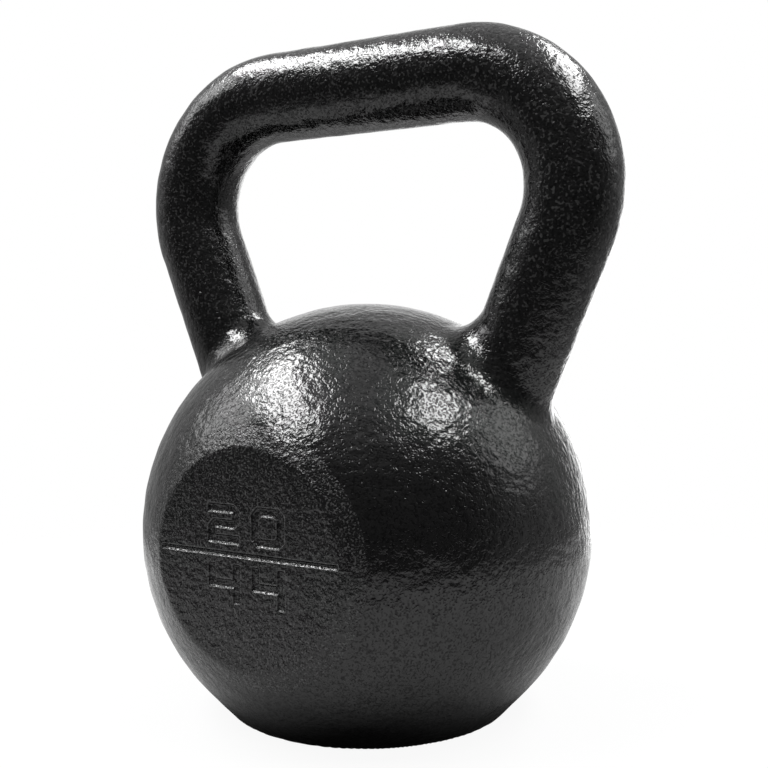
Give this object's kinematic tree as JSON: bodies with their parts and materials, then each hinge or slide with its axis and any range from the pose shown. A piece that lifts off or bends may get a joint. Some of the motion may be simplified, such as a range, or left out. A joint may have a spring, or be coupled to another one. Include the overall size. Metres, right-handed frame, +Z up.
{
  "type": "kettlebell",
  "caption": "Cast-iron kettlebell: round ball with a flat base, flat front and back faces and sunk weight figures, under a bent round handle.",
  "frame": {"origin": "centre of the flat base, on the surface that the kettlebell stands on", "axes": "+Z up through the ball and the handle, X along the grip, -Y out of the front face that carries the figures"},
  "size_m": [0.2006, 0.1528, 0.2514],
  "materials": {
    "body_enamel": "glossy black hammertone enamel on cast iron",
    "face_enamel": "semi-gloss black hammertone enamel, finer grained than the body"
  },
  "bodies": {
    "root": {"ball": "body_enamel", "base": "body_enamel", "front_face": "face_enamel", "back_face": "face_enamel", "right_horn": "body_enamel", "right_corner": "body_enamel", "left_horn": "body_enamel", "left_corner": "body_enamel", "grip": "body_enamel"}
  },
  "joints": []
}
